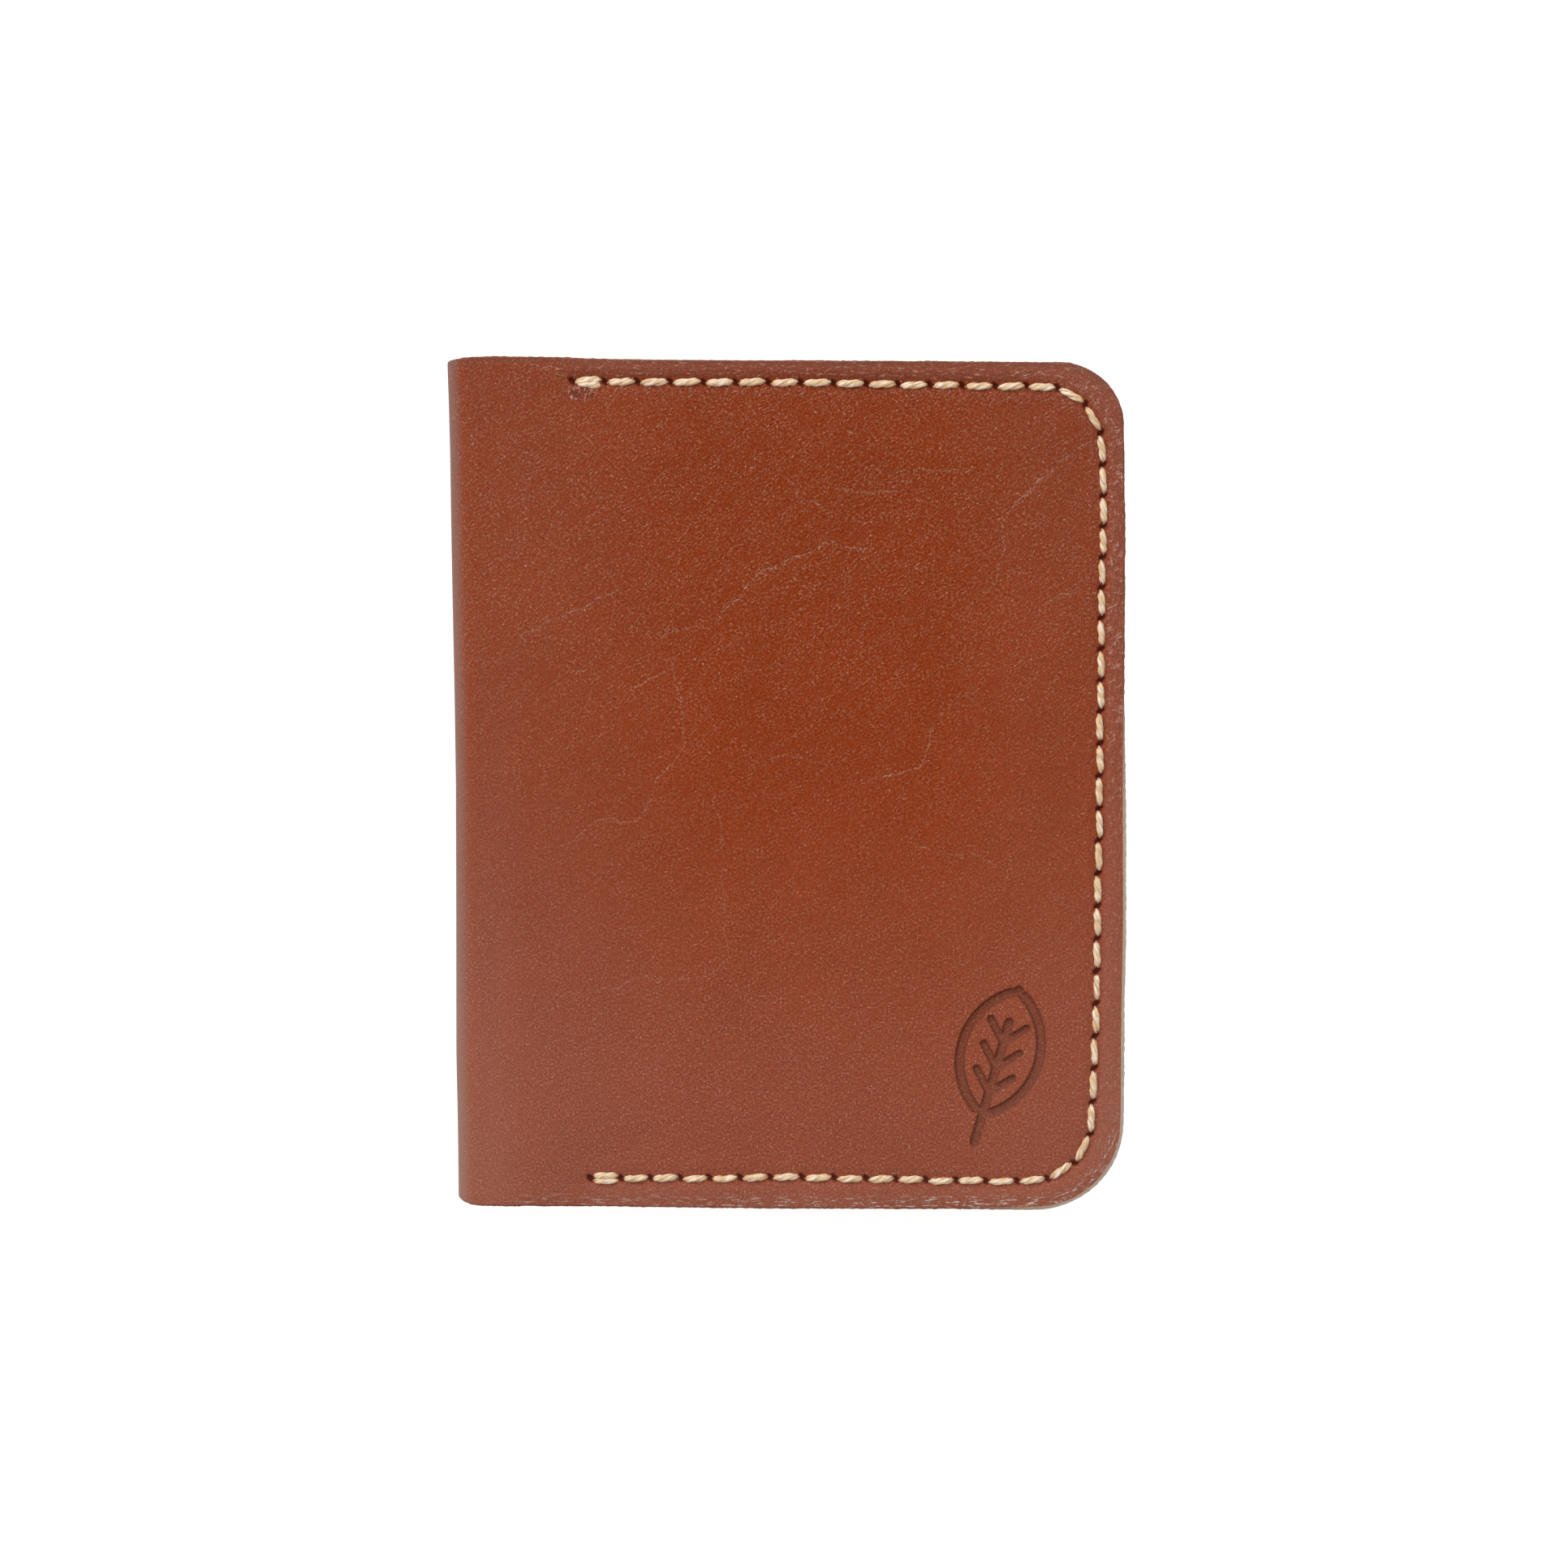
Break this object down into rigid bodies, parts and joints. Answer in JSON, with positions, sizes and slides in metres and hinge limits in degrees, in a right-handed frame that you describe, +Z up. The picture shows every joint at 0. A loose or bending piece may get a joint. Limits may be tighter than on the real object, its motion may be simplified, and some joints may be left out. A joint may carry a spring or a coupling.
{
  "type": "card holder",
  "caption": "Vertical bifold card holder in tan leather, hand-stitched on three sides, that opens flat at the spine on two fold lines.",
  "frame": {"origin": "bottom centre of the closed holder's bounding box, on the rear cover's outer face", "axes": "lying closed on its rear cover: +Z up through the front cover, +Y towards the top edge along the spine, +X from the spine to the free edges"},
  "size_m": [0.0836, 0.105, 0.0101],
  "materials": {
    "shell_leather": "cognac brown vegetable-tanned leather with a light natural grain, semi-matte",
    "pocket_leather": "cognac brown vegetable-tanned leather, semi-matte",
    "seam_thread": "cream waxed twisted thread, slight sheen"
  },
  "bodies": {
    "rear_cover": {"rear_shell_panel": "shell_leather", "rear_slip_pocket": "pocket_leather", "rear_card_pocket": "pocket_leather", "rear_seam_thread": "seam_thread"},
    "spine": {"spine_strip": "shell_leather", "rear_fold_bend": "shell_leather", "front_fold_bend": "shell_leather"},
    "front_cover": {"front_shell_panel": "shell_leather", "front_slip_pocket": "pocket_leather", "front_card_pocket": "pocket_leather", "front_seam_thread": "seam_thread"}
  },
  "joints": [
    {"name": "rear_fold", "type": "hinge", "parent": "rear_cover", "child": "spine", "pos_m": [-0.04057, 0, 0.00123], "axis": [0, -1, 0], "range_deg": [0, 90], "deforming": ["rear_fold_bend"]},
    {"name": "front_fold", "type": "hinge", "parent": "spine", "child": "front_cover", "pos_m": [-0.04057, 0, 0.00887], "axis": [0, -1, 0], "range_deg": [0, 90], "deforming": ["front_fold_bend"]}
  ],
  "couplings": [
    {"joint": "front_fold", "follows": "rear_fold", "ratio": 1}
  ]
}
